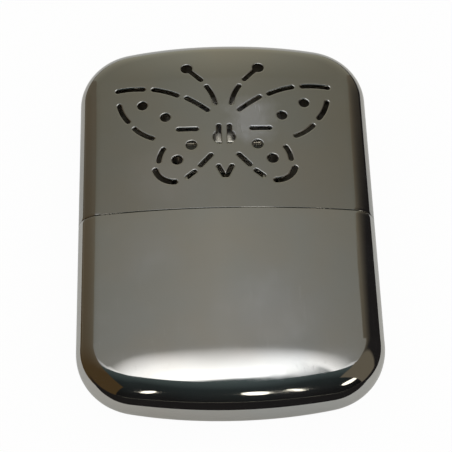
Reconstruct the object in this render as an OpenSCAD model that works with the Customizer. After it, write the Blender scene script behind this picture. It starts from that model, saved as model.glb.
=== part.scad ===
// Catalytic pocket hand warmer, lying on its back.
// X runs across the case, Y runs along it with the cap at +Y, and Z rises from the
// surface it lies on. The origin is on that surface, under the middle of the case.

/* [Case] */
// Width across both long edges
body_w = 67; // [60:0.5:74]
// Thickness through the middle of the two faces
body_t = 15.2; // [14:0.1:17]
// Length of the fuel tank, from its end to the seam
tank_len = 48.2; // [44:0.1:60]
// Length of the cap, from the seam to its end
cap_len = 49.8; // [48:0.1:60]
// Radius of the rounded edge that runs round the case
edge_r = 5.2; // [4.6:0.1:5.6]
// Radius of the four corners, seen from the front
corner_r = 13.8; // [11:0.1:17]
// Radius of the slight bow of each end
end_bow_r = 131; // [110:1:180]
// Length over which the faces fall away towards each end
shoulder_len = 13; // [9:0.5:15]
// How far each face has fallen where the end's rounding starts
shoulder_drop = 0.9; // [0.2:0.1:1.3]
// Width of the flat strip down the middle of each face
land_w = 10; // [4:0.5:14]
// Height of the straight band round the rim, between the two round edges
rim_band = 0.6; // [0.3:0.1:1.2]
// Sheet thickness of the tank and the cap
case_wall = 0.5; // [0.4:0.05:0.7]
// Gap between the two rims with the cap pushed home
seam_gap = 0.1; // [0.05:0.05:0.3]

/* [Collar] */
// Height of the collar above the seam
collar_rise = 6.6; // [5:0.1:11]
// Depth of the collar's skirt inside the tank
collar_depth = 13; // [8:0.5:16]
// Sheet thickness of the collar
collar_wall = 0.4; // [0.3:0.05:0.6]
// Radius of the drawn edge round the collar's top
collar_round = 1.6; // [1:0.1:2]
// Clearance between the collar and the shells around it
slide_gap = 0.12; // [0.08:0.01:0.25]

/* [Filler neck] */
// Width of the neck's tube
neck_w = 24; // [20:0.5:26]
// Thickness of the neck's tube, front to back
neck_t = 8; // [7:0.1:8.6]
// Height of the neck above the collar's top
neck_rise = 12.3; // [9:0.1:13]
// Length of the neck inside the tank
neck_drop = 4; // [2:0.5:6]
// Sheet thickness of the neck
neck_wall = 0.5; // [0.4:0.05:0.7]
// Width of the flange that is soldered to the collar
neck_flange = 1; // [0.6:0.1:1.2]
// Thickness of that flange
neck_flange_t = 0.4; // [0.3:0.05:0.6]
// Clearance of the soldered joint round the neck
solder_gap = 0.03; // [0.02:0.01:0.08]

/* [Cotton and wick] */
// Clearance round the cotton filling
cotton_gap = 0.3; // [0.2:0.05:0.6]
// Depth to which the wick hangs below the collar's top
wick_depth = 24; // [16:0.5:30]
// Distance of the wick's top below the neck's mouth
wick_recess = 1; // [0.5:0.1:3]

/* [Burner] */
// Length of neck that the burner's sleeve covers
sleeve_grip = 7; // [5:0.1:8]
// Sheet thickness of the sleeve
sleeve_wall = 0.4; // [0.3:0.05:0.5]
// Clearance between the sleeve and the neck
sleeve_gap = 0.12; // [0.08:0.01:0.2]
// How far the burner cage stands out past the neck on each side
cage_flare = 1.5; // [1.2:0.1:2.2]
// Thickness of the burner cage, front to back
cage_t = 10.5; // [10.2:0.1:11]
// Height of the burner cage above its seat
cage_h = 14; // [12:0.1:15]
// Radius of the cage's two top corners
cage_corner = 3; // [2:0.1:4]
// Width of the fold round each face of the cage
cage_fold = 0.8; // [0.5:0.1:1]
// Sheet thickness of the cage
cage_wall = 0.35; // [0.3:0.05:0.45]
// Number of windows in each face of the cage
windows = 5; // [3:1:5]
// Width of one window
window_w = 3; // [2:0.1:3.4]
// Height of one window
window_h = 8.6; // [7:0.1:9]
// Metal left between two windows
window_bar = 1.6; // [1.2:0.1:1.8]
// Thickness of the catalyst mat
mat_t = 7.2; // [6:0.1:7.4]
// Clearance between the mat, the gauzes and the cage
mat_gap = 0.2; // [0.1:0.05:0.3]
// Room between each side of the mat and the cage
mat_side_gap = 0.6; // [0.3:0.1:1]
// Thickness of a gauze wire
wire_d = 0.3; // [0.2:0.05:0.35]
// Spacing of the gauze wires
wire_pitch = 2; // [1.6:0.1:3]

/* [Vents] */
// Width of the slots in the cap
vent_w = 1.05; // [0.8:0.05:1.3]
// Diameter of the two holes in each upper wing
upper_hole_d = 2.35; // [1.8:0.05:2.6]
// Diameter of the two holes in each lower wing
lower_hole_d = 2.5; // [1.8:0.05:2.7]
// Diameter of the knob at the end of each antenna
knob_d = 2.7; // [1.8:0.05:3]
// Width of the metal left between the two slots of the insect's body
spine_w = 1.4; // [1:0.1:1.8]
// Radius of the belly of each body slot
belly_r = 1.9; // [1.4:0.1:2.2]
// Width of the slot at the tip of each lower wing
tip_w = 1.25; // [0.9:0.05:1.4]

/* [Hidden] */

body_len = tank_len + cap_len;
end_y = body_len / 2;
seam_y = tank_len - end_y;
mid_z = body_t / 2;

// The case is a thin crowned core, thickened all round by edge_r. These values shape
// the core: an arc across each face, from the flat land to the rim.
edge_x = body_w / 2 - edge_r;
crown_rise = body_t / 2 - edge_r - rim_band / 2;
crown_depth = (edge_x * edge_x - land_w * land_w / 4 - crown_rise * crown_rise) / (2 * crown_rise);
crown_r = norm([edge_x, crown_depth]);
shoulder_y = end_y - shoulder_len;

// The core's rim, seen from the front: a corner arc that runs into the bowed end.
corner_core_r = corner_r - edge_r;
bow_core_r = end_bow_r - edge_r;
bow_y = end_y - end_bow_r;
corner_x = edge_x - corner_core_r;
corner_y = bow_y + sqrt(pow(bow_core_r - corner_core_r, 2) - corner_x * corner_x);
corner_angle = atan2(corner_y - bow_y, corner_x);

// How finely the case is drawn
corner_steps = 8;
rim_steps = 6;
face_steps = 5;
land_u = land_w / 2 / edge_x;
face_fan = [for (i = [0 : face_steps]) 1 + (land_u - 1) * i / face_steps];
columns = concat(-1 * face_fan, [0], reversed(face_fan));
across = len(columns) - 1;
around = 2 * rim_steps + 1;

inner_r = edge_r - case_wall;
collar_r = inner_r - slide_gap;
cotton_r = collar_r - collar_wall - cotton_gap;
collar_steps = 5;

collar_y = seam_y + collar_rise;
skirt_y = seam_y - collar_depth;
neck_y = collar_y + neck_rise;
seat_y = neck_y + sleeve_gap;
sleeve_y = neck_y - sleeve_grip;
sleeve_inner_w = neck_w + 2 * sleeve_gap;
sleeve_inner_t = neck_t + 2 * sleeve_gap;
cage_y = seat_y + sleeve_wall;
cage_w = neck_w + 2 * cage_flare;
mat_w = cage_w - 2 * (cage_wall + mat_side_gap);
mat_h = cage_h - cage_wall - 2 * mat_gap;
mat_corner = cage_corner - cage_wall - mat_gap;
wick_w = neck_w - 2 * (neck_wall + cotton_gap);
wick_t = neck_t - 2 * (neck_wall + cotton_gap);
cut = 1;

knob_at = [8.4, 40.0];

// Vents of one wing: the two ends of each slot's middle line and how far it bows to the
// left of the way from the first to the second. X is from the middle, Y from the seam.
wing_slots = [
    [[24.6, 34.5], [18.6, 34.5], -0.2],
    [[16.2, 34.2], [10.7, 32.1], -0.2],
    [[8.5, 31.2], [3.7, 27.5], -0.1],
    [[24.2, 30.2], [22.1, 25.4], 0.3],
    [[20.6, 23.2], [16.5, 20.1], 0.3],
    [[10.5, 22.2], [6.4, 22.1], 0],
    [[14.0, 16.8], [15.1, 13.5], 0.2],
    [[3.2, 14.6], [5.6, 11.8], 0],
    [[7.0, 10.1], [8.6, 8.7], 0],
    [[1.5, 11.4], [0.35, 8.9], 0],
    [knob_at, [5.1, 36.4], 0],
    [[3.8, 34.4], [1.9, 29.4], -0.3]
];
wing_tip = [[15.9, 11.0], [11.5, 7.5]];
tip_bow = 0.95;
upper_holes = [[18.8, 29.7], [13.5, 25.9]];
lower_holes = [[7.6, 17.6], [10.9, 13.6]];
body_slot_top = 23.4;
belly_at = 19.7;

// ---------------------------------------------------------------- outlines

function reversed(points) = [for (i = [len(points) - 1 : -1 : 0]) points[i]];
function unit(v) = v / norm(v);

// A slot shape with round ends, w long and t wide.
module racetrack(w, t) {
    square([w - t, t], center = true);
    for (side = [-1, 1])
        translate([side * (w - t) / 2, 0])
            circle(d = t, $fn = 32);
}

// A slot of width w from a to b, bowed to the left of the way by bow.
module bowed_slot(a, b, bow, w) {
    way = b - a;
    span = norm(way);
    translate(a)
        rotate(atan2(way[1], way[0])) {
            circle(d = w, $fn = 24);
            translate([span, 0])
                circle(d = w, $fn = 24);
            if (bow == 0)
                translate([0, -w / 2])
                    square([span, w]);
            else
                arc_band(span, bow, w);
        }
}

// The bent middle of a bowed slot, along X from 0 to span.
module arc_band(span, bow, w) {
    r = (span * span / 4 + bow * bow) / (2 * abs(bow));
    half = asin(span / 2 / r);
    side = sign(bow);
    reach = r + w;
    translate([span / 2, bow - side * r])
        scale([1, side])
            intersection() {
                difference() {
                    circle(r = r + w / 2, $fn = 96);
                    circle(r = r - w / 2, $fn = 96);
                }
                polygon([[0, 0], [reach * tan(half), reach], [-reach * tan(half), reach]]);
            }
}

// ---------------------------------------------------------------- the case

// Turns a section drawn in XZ into a bar that runs from one Y to another.
module along_y(from, to) {
    translate([0, to, mid_z])
        rotate([90, 0, 0])
            linear_extrude(height = to - from)
                children();
}

// The core's upper face: its height over the middle plane at x, y, and its normal.
// It is crowned across the case, flat along its middle, and falls away towards the end.
function arc_rise(x) = min(crown_rise, sqrt(crown_r * crown_r - x * x) - crown_depth);
function fall(y) = max(0, y - shoulder_y) / (shoulder_len - edge_r);
function fade(y) = 1 - shoulder_drop / crown_rise * fall(y) * fall(y);
function core_z(x, y) = rim_band / 2 + arc_rise(x) * fade(y);
function slope_x(x, y) = x / sqrt(crown_r * crown_r - x * x) * fade(y);
function slope_y(x, y) = arc_rise(x) * 2 * shoulder_drop / crown_rise * fall(y) / (shoulder_len - edge_r);
function face_normal(x, y) = unit([slope_x(x, y), slope_y(x, y), 1]);

// A point of the surface at distance r from the core: over the face, or round the rim,
// where step runs from the upper face to the lower one.
function face_point(x, y, r) = [x, y, core_z(x, y)] + r * face_normal(x, y);
function rim_point(x, y, out, r, step) =
    step > rim_steps ? flipped(rim_point(x, y, out, r, around - step)) :
    let (t = 90 * (1 - step / rim_steps))
    [x, y, core_z(x, y)] + r * unit(cos(t) * [out[0], out[1], 0] + sin(t) * face_normal(x, y));
function flipped(p) = [p[0], p[1], -p[2]];

// Rows of the face: a row starts on the rim at row_at[0], row_at[1] and bends towards
// the end's bow by the share row_at[2]. The bow itself is the last row.
function corner_row(i) =
    let (t = corner_angle * i / corner_steps)
    [corner_x + corner_core_r * cos(t), corner_y + corner_core_r * sin(t), i / corner_steps, t];
last_row = corner_row(corner_steps);
function bow_over(x) = bow_y + sqrt(bow_core_r * bow_core_r - x * x);
function row_y(row, u) = row[1] + row[2] * (bow_over(u * last_row[0]) - last_row[1]);

// One closed loop round the case at a row, at distance r from the core.
function row_loop(row, r) =
    let (x = row[0], y = row[1], out = [cos(row[3]), sin(row[3])],
         top = [for (u = columns) face_point(u * x, row_y(row, u), r)],
         right = [for (a = [1 : around - 1]) rim_point(x, y, out, r, a)])
    concat(top, right, [for (p = reversed(top)) flipped(p)],
           [for (p = reversed(right)) [-p[0], p[1], p[2]]]);
function straight_row(y) = [edge_x, y, 0, 0];
function case_loops(start_y, r) =
    concat([row_loop(straight_row(start_y), r)],
           [for (i = [0 : corner_steps]) row_loop(corner_row(i), r)]);

// The points inside the last loop, which close the end along its bow.
function end_points(r) =
    [for (a = [1 : around - 1])
        for (j = [1 : across - 1])
            let (x = columns[j] * last_row[0], y = bow_over(x))
            rim_point(x, y, unit([x, y - bow_y]), r, a)];

// Where the point in column j and step a of the end lies in the list of points, for a
// last loop that starts at loop_at and end points that start at end_at.
function end_index(j, a, loop_at, end_at) =
    a == 0 ? loop_at + j :
    a == around ? loop_at + 2 * across + around - j :
    j == across ? loop_at + across + a :
    j == 0 ? loop_at + 2 * across + 2 * around - a :
    end_at + (a - 1) * (across - 1) + j - 1;
function end_faces(loop_at, end_at) =
    [for (a = [0 : around - 1])
        for (j = [0 : across - 1])
            let (p = end_index(j, a, loop_at, end_at), q = end_index(j + 1, a, loop_at, end_at),
                 s = end_index(j + 1, a + 1, loop_at, end_at), t = end_index(j, a + 1, loop_at, end_at))
            each [[p, q, s], [p, s, t]]];
function loop_faces(loops, count) =
    [for (i = [0 : loops - 2])
        for (k = [0 : count - 1])
            let (p = i * count + k, q = i * count + (k + 1) % count)
            each [[p, q + count, q], [p, p + count, q + count]]];
function turned(faces) = [for (f = faces) [f[0], f[2], f[1]]];
function joined(lists) = [for (l = lists) each l];

// A drawn shell, open at start_y: the inner surface from its end to the rim, then the
// outer surface from the rim to its end.
module half_shell(start_y) {
    inner = case_loops(start_y, inner_r);
    outer = case_loops(start_y, edge_r);
    loops = concat(reversed(inner), outer);
    count = len(outer[0]);
    ends_at = len(loops) * count;
    last_at = ends_at - count;
    inner_end = end_points(inner_r);
    translate([0, 0, mid_z])
        polyhedron(
            points = concat(joined(loops), inner_end, end_points(edge_r)),
            faces = concat(loop_faces(len(loops), count),
                           end_faces(0, ends_at),
                           turned(end_faces(last_at, ends_at + len(inner_end)))));
}

// A solid that fills the case from start_y to its end, at distance r from the core.
module case_fill(start_y, r) {
    loops = case_loops(start_y, r);
    count = len(loops[0]);
    ends_at = len(loops) * count;
    translate([0, 0, mid_z])
        polyhedron(
            points = concat(joined(loops), end_points(r)),
            faces = concat([[for (k = [0 : count - 1]) k]],
                           loop_faces(len(loops), count),
                           turned(end_faces(ends_at - count, ends_at))));
}

module tank_shell() {
    color("dimgray")
        rotate(180)
            half_shell(-seam_y);
}

module cap_shell() {
    color("dimgray")
        difference() {
            half_shell(seam_y + seam_gap);
            translate([0, seam_y, mid_z])
                linear_extrude(height = body_t)
                    vents();
        }
}

// The butterfly of vents in the cap's front.
module vents() {
    for (side = [0, 1])
        mirror([side, 0])
            wing();
}

module wing() {
    for (s = wing_slots)
        bowed_slot(s[0], s[1], s[2], vent_w);
    bowed_slot(wing_tip[0], wing_tip[1], tip_bow, tip_w);
    for (p = upper_holes)
        translate(p)
            circle(d = upper_hole_d, $fn = 24);
    for (p = lower_holes)
        translate(p)
            circle(d = lower_hole_d, $fn = 24);
    translate(knob_at)
        circle(d = knob_d, $fn = 24);
    body_slot();
}

// One of the two slots of the insect's body: straight inside, with a round belly outside.
module body_slot() {
    slot_x = (spine_w + vent_w) / 2;
    bowed_slot([slot_x, belly_at - belly_r + vent_w / 2], [slot_x, body_slot_top - vent_w / 2], 0, vent_w);
    intersection() {
        translate([spine_w / 2, belly_at])
            circle(r = belly_r, $fn = 32);
        translate([spine_w / 2, belly_at - belly_r])
            square([belly_r, 2 * belly_r]);
    }
}

// ---------------------------------------------------------------- the tank's fittings

// The collar's loops: up the inside, over the rim and up the outside, each ending in the
// round edge of the flat top.
function cup_loops(r, round, top) =
    concat([row_loop(straight_row(skirt_y), r)],
           [for (i = [0 : collar_steps])
               let (t = 90 * i / collar_steps)
               row_loop(straight_row(top - round + round * sin(t)), r - round + round * cos(t))]);

module tank_collar() {
    inner = cup_loops(collar_r - collar_wall, collar_round - collar_wall, collar_y - collar_wall);
    outer = cup_loops(collar_r, collar_round, collar_y);
    loops = concat(reversed(inner), outer);
    count = len(outer[0]);
    last_at = (len(loops) - 1) * count;
    color("silver")
        difference() {
            translate([0, 0, mid_z])
                polyhedron(
                    points = joined(loops),
                    faces = concat([[for (k = [0 : count - 1]) k]],
                                   loop_faces(len(loops), count),
                                   [[for (k = [count - 1 : -1 : 0]) last_at + k]]));
            along_y(collar_y - collar_round, collar_y + cut)
                racetrack(neck_w + 2 * solder_gap, neck_t + 2 * solder_gap);
        }
}

module filler_neck() {
    color("gainsboro")
        difference() {
            union() {
                along_y(collar_y - neck_drop, neck_y)
                    racetrack(neck_w, neck_t);
                along_y(collar_y, collar_y + neck_flange_t)
                    racetrack(neck_w + 2 * neck_flange, neck_t + 2 * neck_flange);
            }
            along_y(collar_y - neck_drop - cut, neck_y + cut)
                racetrack(neck_w - 2 * neck_wall, neck_t - 2 * neck_wall);
        }
}

// The cotton fills the tank and the collar, round the wick and below the neck.
module cotton_half(side) {
    top_y = collar_y - neck_drop - cotton_gap;
    color("ivory")
        difference() {
            intersection() {
                rotate(180)
                    case_fill(-top_y, cotton_r);
                translate([-body_w, -body_len, side > 0 ? mid_z : mid_z - body_t])
                    cube([2 * body_w, 2 * body_len, body_t]);
            }
            along_y(collar_y - wick_depth - cotton_gap, collar_y)
                racetrack(wick_w + 2 * cotton_gap, wick_t + 2 * cotton_gap);
        }
}

module cotton_front() {
    cotton_half(1);
}

module cotton_back() {
    cotton_half(-1);
}

module cotton_wick() {
    color("white")
        along_y(collar_y - wick_depth, neck_y - wick_recess)
            racetrack(wick_w, wick_t);
}

// ---------------------------------------------------------------- the burner

module burner_sleeve() {
    color("silver")
        difference() {
            union() {
                along_y(sleeve_y, cage_y)
                    racetrack(sleeve_inner_w + 2 * sleeve_wall, sleeve_inner_t + 2 * sleeve_wall);
                along_y(seat_y, cage_y)
                    racetrack(cage_w, cage_t);
            }
            along_y(sleeve_y - cut, seat_y)
                racetrack(sleeve_inner_w, sleeve_inner_t);
            along_y(seat_y - cut, cage_y + cut)
                racetrack(neck_w - 2 * neck_wall, neck_t - 2 * neck_wall);
        }
}

// Front view of a cage half, with two round top corners.
module cage_outline(w, h, corner) {
    for (side = [-1, 1])
        translate([side * (w / 2 - corner), h - corner])
            circle(r = corner, $fn = 24);
    translate([corner - w / 2, 0])
        square([w - 2 * corner, h]);
    translate([-w / 2, 0])
        square([w, h - corner]);
}

// A tray with a folded edge round its face, lying in XY with its face up.
module tray_block(w, h, corner, depth, fold) {
    hull() {
        linear_extrude(height = depth - fold)
            cage_outline(w, h, corner);
        linear_extrude(height = depth)
            translate([0, fold])
                cage_outline(w - 2 * fold, h - 2 * fold, corner - fold);
    }
}

module window_row() {
    pitch = window_w + window_bar;
    for (i = [0 : windows - 1])
        translate([(i - (windows - 1) / 2) * pitch, cage_h / 2])
            rotate(90)
                racetrack(window_h, window_w);
}

module cage_half() {
    difference() {
        tray_block(cage_w, cage_h, cage_corner, cage_t / 2, cage_fold);
        translate([0, cage_wall, -cut])
            tray_block(cage_w - 2 * cage_wall, cage_h - 2 * cage_wall, cage_corner - cage_wall,
                       cage_t / 2 - cage_wall + cut, cage_fold - cage_wall / 2);
        linear_extrude(height = cage_t)
            window_row();
    }
}

module burner_front() {
    color("gainsboro")
        translate([0, cage_y, mid_z])
            cage_half();
}

module burner_back() {
    color("gainsboro")
        translate([0, cage_y, mid_z])
            mirror([0, 0, 1])
                cage_half();
}

module catalyst_mat() {
    color("whitesmoke")
        translate([0, cage_y + cage_wall + mat_gap, mid_z - mat_t / 2])
            linear_extrude(height = mat_t)
                cage_outline(mat_w, mat_h - cage_wall, mat_corner);
}

// A woven wire gauze, made as crossing wires in two layers.
module gauze() {
    side_wires = floor((mat_w - 2 * mat_corner) / 2 / wire_pitch);
    rows = floor((mat_h - mat_corner) / wire_pitch);
    for (i = [-side_wires : side_wires])
        translate([i * wire_pitch - wire_d / 2, 0, 0])
            cube([wire_d, rows * wire_pitch, wire_d]);
    for (j = [0 : rows])
        translate([-mat_w / 2 + mat_corner, j * wire_pitch - wire_d / 2, wire_d / 2])
            cube([mat_w - 2 * mat_corner, wire_d, wire_d]);
}

module gauze_front() {
    color("gray")
        translate([0, cage_y + cage_wall + mat_gap, mid_z + mat_t / 2 + mat_gap])
            gauze();
}

module gauze_back() {
    color("gray")
        translate([0, cage_y + cage_wall + mat_gap, mid_z - mat_t / 2 - mat_gap])
            mirror([0, 0, 1])
                gauze();
}

tank_shell();
tank_collar();
filler_neck();
cotton_front();
cotton_back();
cotton_wick();
burner_sleeve();
burner_front();
burner_back();
catalyst_mat();
gauze_front();
gauze_back();
cap_shell();
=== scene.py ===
# %% [markdown]
# # A catalytic hand warmer in polished metal
#
# The object is a flat case of drawn sheet metal, made of two shells. The lower one is a
# tank that is stuffed with cotton, and the upper one is a cap that pulls off. Under the
# cap a burner sits on the tank's neck: a small steel cage that holds a pad of catalyst.
# The warm air leaves through a butterfly of slots in the cap's front.
#
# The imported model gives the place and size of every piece. Each cell below makes one
# piece or one finish around it, so nothing is fitted by eye afterwards.

import math

import bpy
import numpy as np
from mathutils import Matrix, Vector, noise


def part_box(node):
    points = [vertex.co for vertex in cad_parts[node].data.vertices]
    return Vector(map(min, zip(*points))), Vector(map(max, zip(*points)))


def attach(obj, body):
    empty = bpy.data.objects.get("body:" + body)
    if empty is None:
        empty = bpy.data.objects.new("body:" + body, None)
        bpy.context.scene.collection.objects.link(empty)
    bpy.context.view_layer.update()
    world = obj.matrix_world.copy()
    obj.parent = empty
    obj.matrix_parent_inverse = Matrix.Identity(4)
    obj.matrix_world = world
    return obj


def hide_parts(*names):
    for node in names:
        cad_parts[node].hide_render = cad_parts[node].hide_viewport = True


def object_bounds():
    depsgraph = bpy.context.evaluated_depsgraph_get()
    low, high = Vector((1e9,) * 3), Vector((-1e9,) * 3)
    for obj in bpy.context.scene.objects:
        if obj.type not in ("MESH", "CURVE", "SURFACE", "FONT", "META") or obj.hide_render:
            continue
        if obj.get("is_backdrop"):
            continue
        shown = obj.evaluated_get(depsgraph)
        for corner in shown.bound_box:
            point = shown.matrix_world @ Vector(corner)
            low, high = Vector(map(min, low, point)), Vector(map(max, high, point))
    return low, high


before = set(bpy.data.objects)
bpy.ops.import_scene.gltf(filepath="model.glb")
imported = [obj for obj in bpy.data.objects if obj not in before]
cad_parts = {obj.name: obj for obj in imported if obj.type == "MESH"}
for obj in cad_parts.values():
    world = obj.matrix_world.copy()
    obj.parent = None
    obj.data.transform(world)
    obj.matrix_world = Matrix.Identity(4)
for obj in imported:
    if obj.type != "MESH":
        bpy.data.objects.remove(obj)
cad_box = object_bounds()
MM = 0.001
print("size in mm:", [round((high - low) / MM, 2) for low, high in zip(*cad_box)])

# %% [markdown]
# ## The camera
#
# A long lens was used for a small thing like this, from a raised place in front of it.
# The camera is set by its angle over the table, its turn and its distance, as a
# photographer would note them, and the lens length follows the size in the picture.

# %% Camera
VIEW_RISE = math.radians(56.03)
VIEW_TURN = math.radians(-1.756)
VIEW_ROLL = math.radians(0.288)
VIEW_DISTANCE = 426.75 * MM
VIEW_AIM = (-0.115 * MM, -0.53 * MM)
LENS_MM = 149.83

MID_Z = cad_box[1][2] / 2


def place_camera():
    away = Vector((
        math.sin(VIEW_TURN) * math.cos(VIEW_RISE),
        -math.cos(VIEW_TURN) * math.cos(VIEW_RISE),
        math.sin(VIEW_RISE),
    ))
    level = (-away).cross(Vector((0, 0, 1))).normalized()
    upright = level.cross(-away)
    turn = Matrix.Rotation(VIEW_ROLL, 3, away)
    side = turn @ level
    top = turn @ upright
    bpy.ops.object.camera_add()
    camera = bpy.context.object
    camera.name = "camera"
    axes = Matrix((side, top, away)).transposed().to_4x4()
    spot = away * VIEW_DISTANCE + side * VIEW_AIM[0] + top * VIEW_AIM[1]
    camera.matrix_world = Matrix.Translation(spot + Vector((0, 0, MID_Z))) @ axes
    camera.data.lens = LENS_MM
    camera.data.clip_start = 10 * MM
    bpy.context.scene.camera = camera
    return camera


camera = place_camera()
print("camera at mm", [round(v / MM, 1) for v in camera.matrix_world.translation])

# %% [markdown]
# ## Small helpers for modelling
#
# Every operator works on what is selected, so each step starts by selecting nothing.
# Faces and points are then picked in code, by their place, and edited as by hand.


# %% Helpers for selecting and editing
def pick(piece):
    if bpy.context.object and bpy.context.object.mode != "OBJECT":
        bpy.ops.object.mode_set(mode="OBJECT")
    bpy.ops.object.select_all(action="DESELECT")
    piece.select_set(True)
    bpy.context.view_layer.objects.active = piece


def pick_nothing():
    bpy.ops.object.select_all(action="DESELECT")


def edit(piece, kind="FACE"):
    pick(piece)
    bpy.ops.object.mode_set(mode="EDIT")
    bpy.ops.mesh.select_mode(type=kind)


def leave():
    bpy.ops.object.mode_set(mode="OBJECT")


def edit_all(piece, kind="FACE"):
    edit(piece, kind)
    bpy.ops.mesh.select_all(action="SELECT")


def named(name):
    piece = bpy.context.object
    piece.name = name
    piece.data.name = name
    return piece


def read_all(items, key, width=1, kind=float):
    flat = np.empty(len(items) * width, kind)
    items.foreach_get(key, flat)
    return flat.reshape(-1, width) if width > 1 else flat


def points_of(piece):
    return read_all(piece.data.vertices, "co", 3)


def put_points(piece, points):
    piece.data.vertices.foreach_set("co", np.asarray(points, float).ravel())
    piece.data.update()


def face_centres(piece):
    return read_all(piece.data.polygons, "center", 3)


def face_areas(piece):
    return read_all(piece.data.polygons, "area")


def corner_counts(piece):
    return read_all(piece.data.polygons, "loop_total", kind=int)


def choose_faces(piece, chosen):
    """Selects just these faces, for the next edit in face mode."""
    piece.data.vertices.foreach_set("select", np.zeros(len(piece.data.vertices), bool))
    piece.data.edges.foreach_set("select", np.zeros(len(piece.data.edges), bool))
    piece.data.polygons.foreach_set("select", chosen)
    piece.data.update()


def change_faces(piece, chosen, operator, **settings):
    """Runs one mesh operator on just these faces."""
    choose_faces(piece, chosen)
    edit(piece)
    operator(**settings)
    leave()


def flip(piece):
    edit_all(piece)
    bpy.ops.mesh.flip_normals()
    leave()


def use_modifier(piece, kind, **settings):
    pick(piece)
    modifier = piece.modifiers.new(kind.lower(), kind)
    for key, value in settings.items():
        setattr(modifier, key, value)
    bpy.ops.object.modifier_apply(modifier=modifier.name)


def copy_of(piece, name):
    pick(piece)
    bpy.ops.object.duplicate(linked=False)
    return named(name)


def join(piece, *others):
    pick(piece)
    for other in others:
        other.select_set(True)
    bpy.ops.object.join()
    return bpy.context.object


def smooth(piece, angle):
    pick(piece)
    bpy.ops.object.shade_smooth_by_angle(angle=math.radians(angle))


def make_solid_normals(piece):
    edit_all(piece)
    bpy.ops.mesh.remove_doubles(threshold=0.001 * MM)
    bpy.ops.mesh.normals_make_consistent(inside=False)
    leave()


def triangles(piece):
    return sum(len(face.vertices) - 2 for face in piece.data.polygons)


# %% [markdown]
# ## The floor, the room and the lamps
#
# Polished metal has hardly a colour of its own: it shows the room. The room here is a
# pale wall far behind, a bright panel almost overhead and a dark side where the camera
# stands, with four small lamps in it. The panel's near edge bows back at both sides.
# The sky's colour is worked out from two angles: how far a direction has swung from the
# back wall over the top, and how far it leans to a side. A few plain levels are enough,
# the same to the left and right. Cotton and floor are lit by a plain sky instead.


# %% Helpers for nodes
def new_node(tree, kind, **settings):
    node = tree.nodes.new(kind)
    for key, value in settings.items():
        setattr(node, key, value)
    return node


def feed(tree, socket, value):
    """Links a socket to another node's output, or sets it to a plain value."""
    if isinstance(value, bpy.types.NodeSocket):
        tree.links.new(value, socket)
    else:
        socket.default_value = value


def math_node(tree, operation, first, second=0.0, third=0.0):
    node = new_node(tree, "ShaderNodeMath", operation=operation)
    for socket, value in zip(node.inputs, (first, second, third)):
        feed(tree, socket, value)
    return node.outputs[0]


def mix_colour(tree, share, first, second, blend="MIX"):
    node = new_node(tree, "ShaderNodeMix", data_type="RGBA", blend_type=blend)
    feed(tree, node.inputs[0], share)
    feed(tree, node.inputs[6], first)
    feed(tree, node.inputs[7], second)
    return node.outputs[2]


def ramp(tree, share, stops):
    """A ramp of grey or colour stops: each is its place and its value."""
    node = new_node(tree, "ShaderNodeValToRGB")
    while len(node.color_ramp.elements) < len(stops):
        node.color_ramp.elements.new(0.5)
    for element, (place, value) in zip(node.color_ramp.elements, stops):
        element.position = place
        element.color = (*value, 1) if isinstance(value, tuple) else (value, value, value, 1)
    feed(tree, node.inputs[0], share)
    return node.outputs[0]


def rescaled(tree, value, low, high, to_low=0.0, to_high=1.0):
    node = new_node(tree, "ShaderNodeMapRange")
    for index, entry in enumerate((value, low, high, to_low, to_high)):
        feed(tree, node.inputs[index], entry)
    return node.outputs[0]


def spread_ramp(tree, value, stops, low, high, unit):
    """A ramp over a value, whose stops have their places between low and high in this unit."""
    share = rescaled(tree, value, low * unit, high * unit)
    return ramp(tree, share, [((place - low) / (high - low), level) for place, level in stops])


def place_parts(tree, kind):
    parts = new_node(tree, "ShaderNodeSeparateXYZ")
    tree.links.new(new_node(tree, "ShaderNodeTexCoord").outputs[kind], parts.inputs[0])
    return parts.outputs


# %% The room that the metal shows
WARM = (1.0, 0.96, 0.76)
PALE = (1.0, 0.99, 0.93)
WHITE = (1.0, 1.0, 1.0)
COOL = (0.76, 1.0, 1.0)
ROOM_PEAK = 2.7
# Degrees from the back wall over the top to the camera's side, the light there, its tint
ROOM_SWEEP = [
    (0, 0.65, WARM), (50, 0.36, WARM), (62, 0.5, PALE), (80, 2.7, WHITE),
    (84, 2.7, WHITE), (84.5, 0.15, COOL), (120, 0.05, COOL), (180, 0.02, WHITE),
]
# Degrees to the left or right, and the share of that light: the room, the panel, the dark part
ROOM_SIDES = [(-60, 0.3), (0, 1.0), (60, 0.3)]
PANEL_SIDES = [(-30, 0.05), (-5, 1.0), (5, 1.0), (30, 0.05)]
DARK_SIDES = [(-60, 0.5), (0, 1.0), (60, 0.5)]
SIDE_RAMPS = [ROOM_SIDES, PANEL_SIDES, DARK_SIDES]
SIDE_CHANGES = [(62, 78), (84.3, 84.8)]
# The bright panel's near edge bows back at both sides, as a parabola
PANEL_BOW_SPAN = math.radians(13)
PANEL_BOW_MOST = math.radians(17)
PANEL_BOW_FROM = math.radians(62)
PANEL_BOW_FULL = math.radians(70)
SOFT_SKY = (0.98, 0.98, 1.0, 1)
SOFT_SKY_LIGHT = 0.85


def tinted(light, tint):
    return tuple(light * channel for channel in tint)


def side_ramp(tree, lean, stops):
    return spread_ramp(tree, lean, stops, -90, 90, math.radians(1))


def plain_sky(tree, colour, strength):
    node = new_node(tree, "ShaderNodeBackground")
    feed(tree, node.inputs[0], colour)
    node.inputs[1].default_value = strength
    return node.outputs[0]


def mix_shaders(tree, share, first, second):
    node = new_node(tree, "ShaderNodeMixShader")
    for socket, value in zip(node.inputs, (share, first, second)):
        feed(tree, socket, value)
    return node.outputs[0]


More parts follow.
